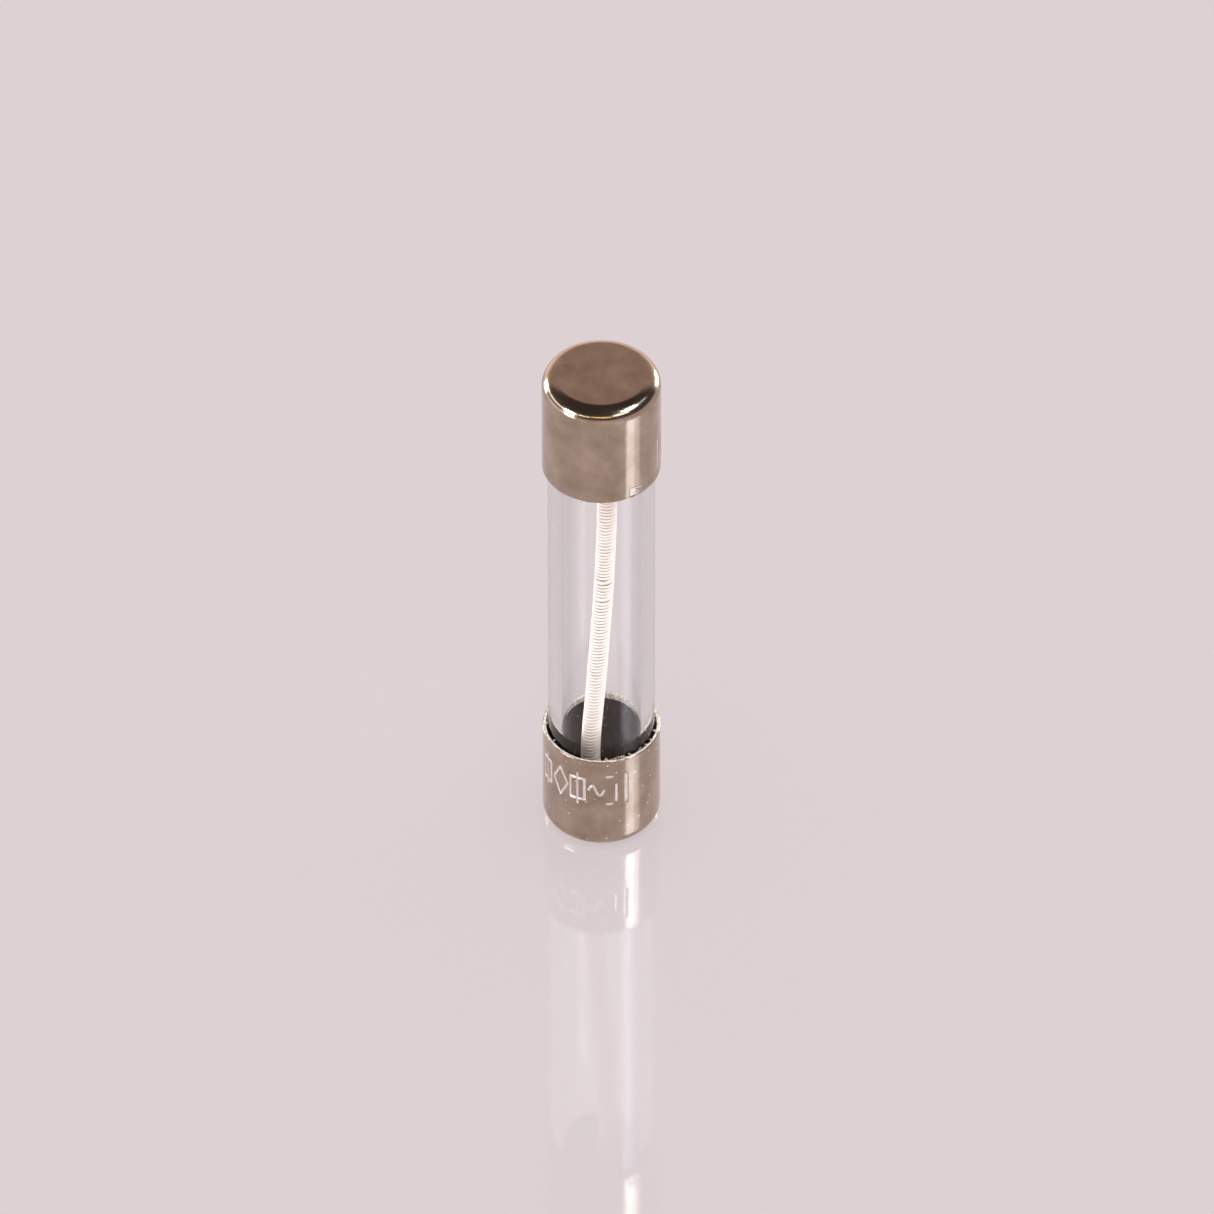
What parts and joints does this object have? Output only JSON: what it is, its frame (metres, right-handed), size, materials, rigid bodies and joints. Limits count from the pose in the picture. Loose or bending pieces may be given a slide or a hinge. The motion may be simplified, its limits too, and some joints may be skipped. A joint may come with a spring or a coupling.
{
  "type": "cartridge fuse",
  "caption": "Glass cartridge fuse with drawn nickel-plated end caps and a spiral wound time-lag element leaning across the bore.",
  "frame": {"origin": "centre of the lower end face, where the fuse stands", "axes": "+Z along the fuse towards the upper cap, +X towards the side that the top of the element leans to, -Y towards the side where the rating is stamped on the lower cap"},
  "size_m": [0.0064, 0.0064, 0.0318],
  "materials": {
    "nickel_plate": "nickel plate over drawn brass, between satin and bright",
    "clear_glass": "clear drawn tube with fire-polished ends",
    "glass_fibre_yarn": "twisted glass-fibre yarn",
    "tinned_wire": "tin-plated copper wire",
    "soft_solder": "dull soft solder with dark flux"
  },
  "bodies": {
    "root": {"end_cap_bottom": "nickel_plate", "end_cap_top": "nickel_plate", "glass_tube": "clear_glass", "core_yarn": "glass_fibre_yarn", "fuse_wire": "tinned_wire", "solder_bottom": "soft_solder", "solder_top": "soft_solder"}
  },
  "joints": []
}
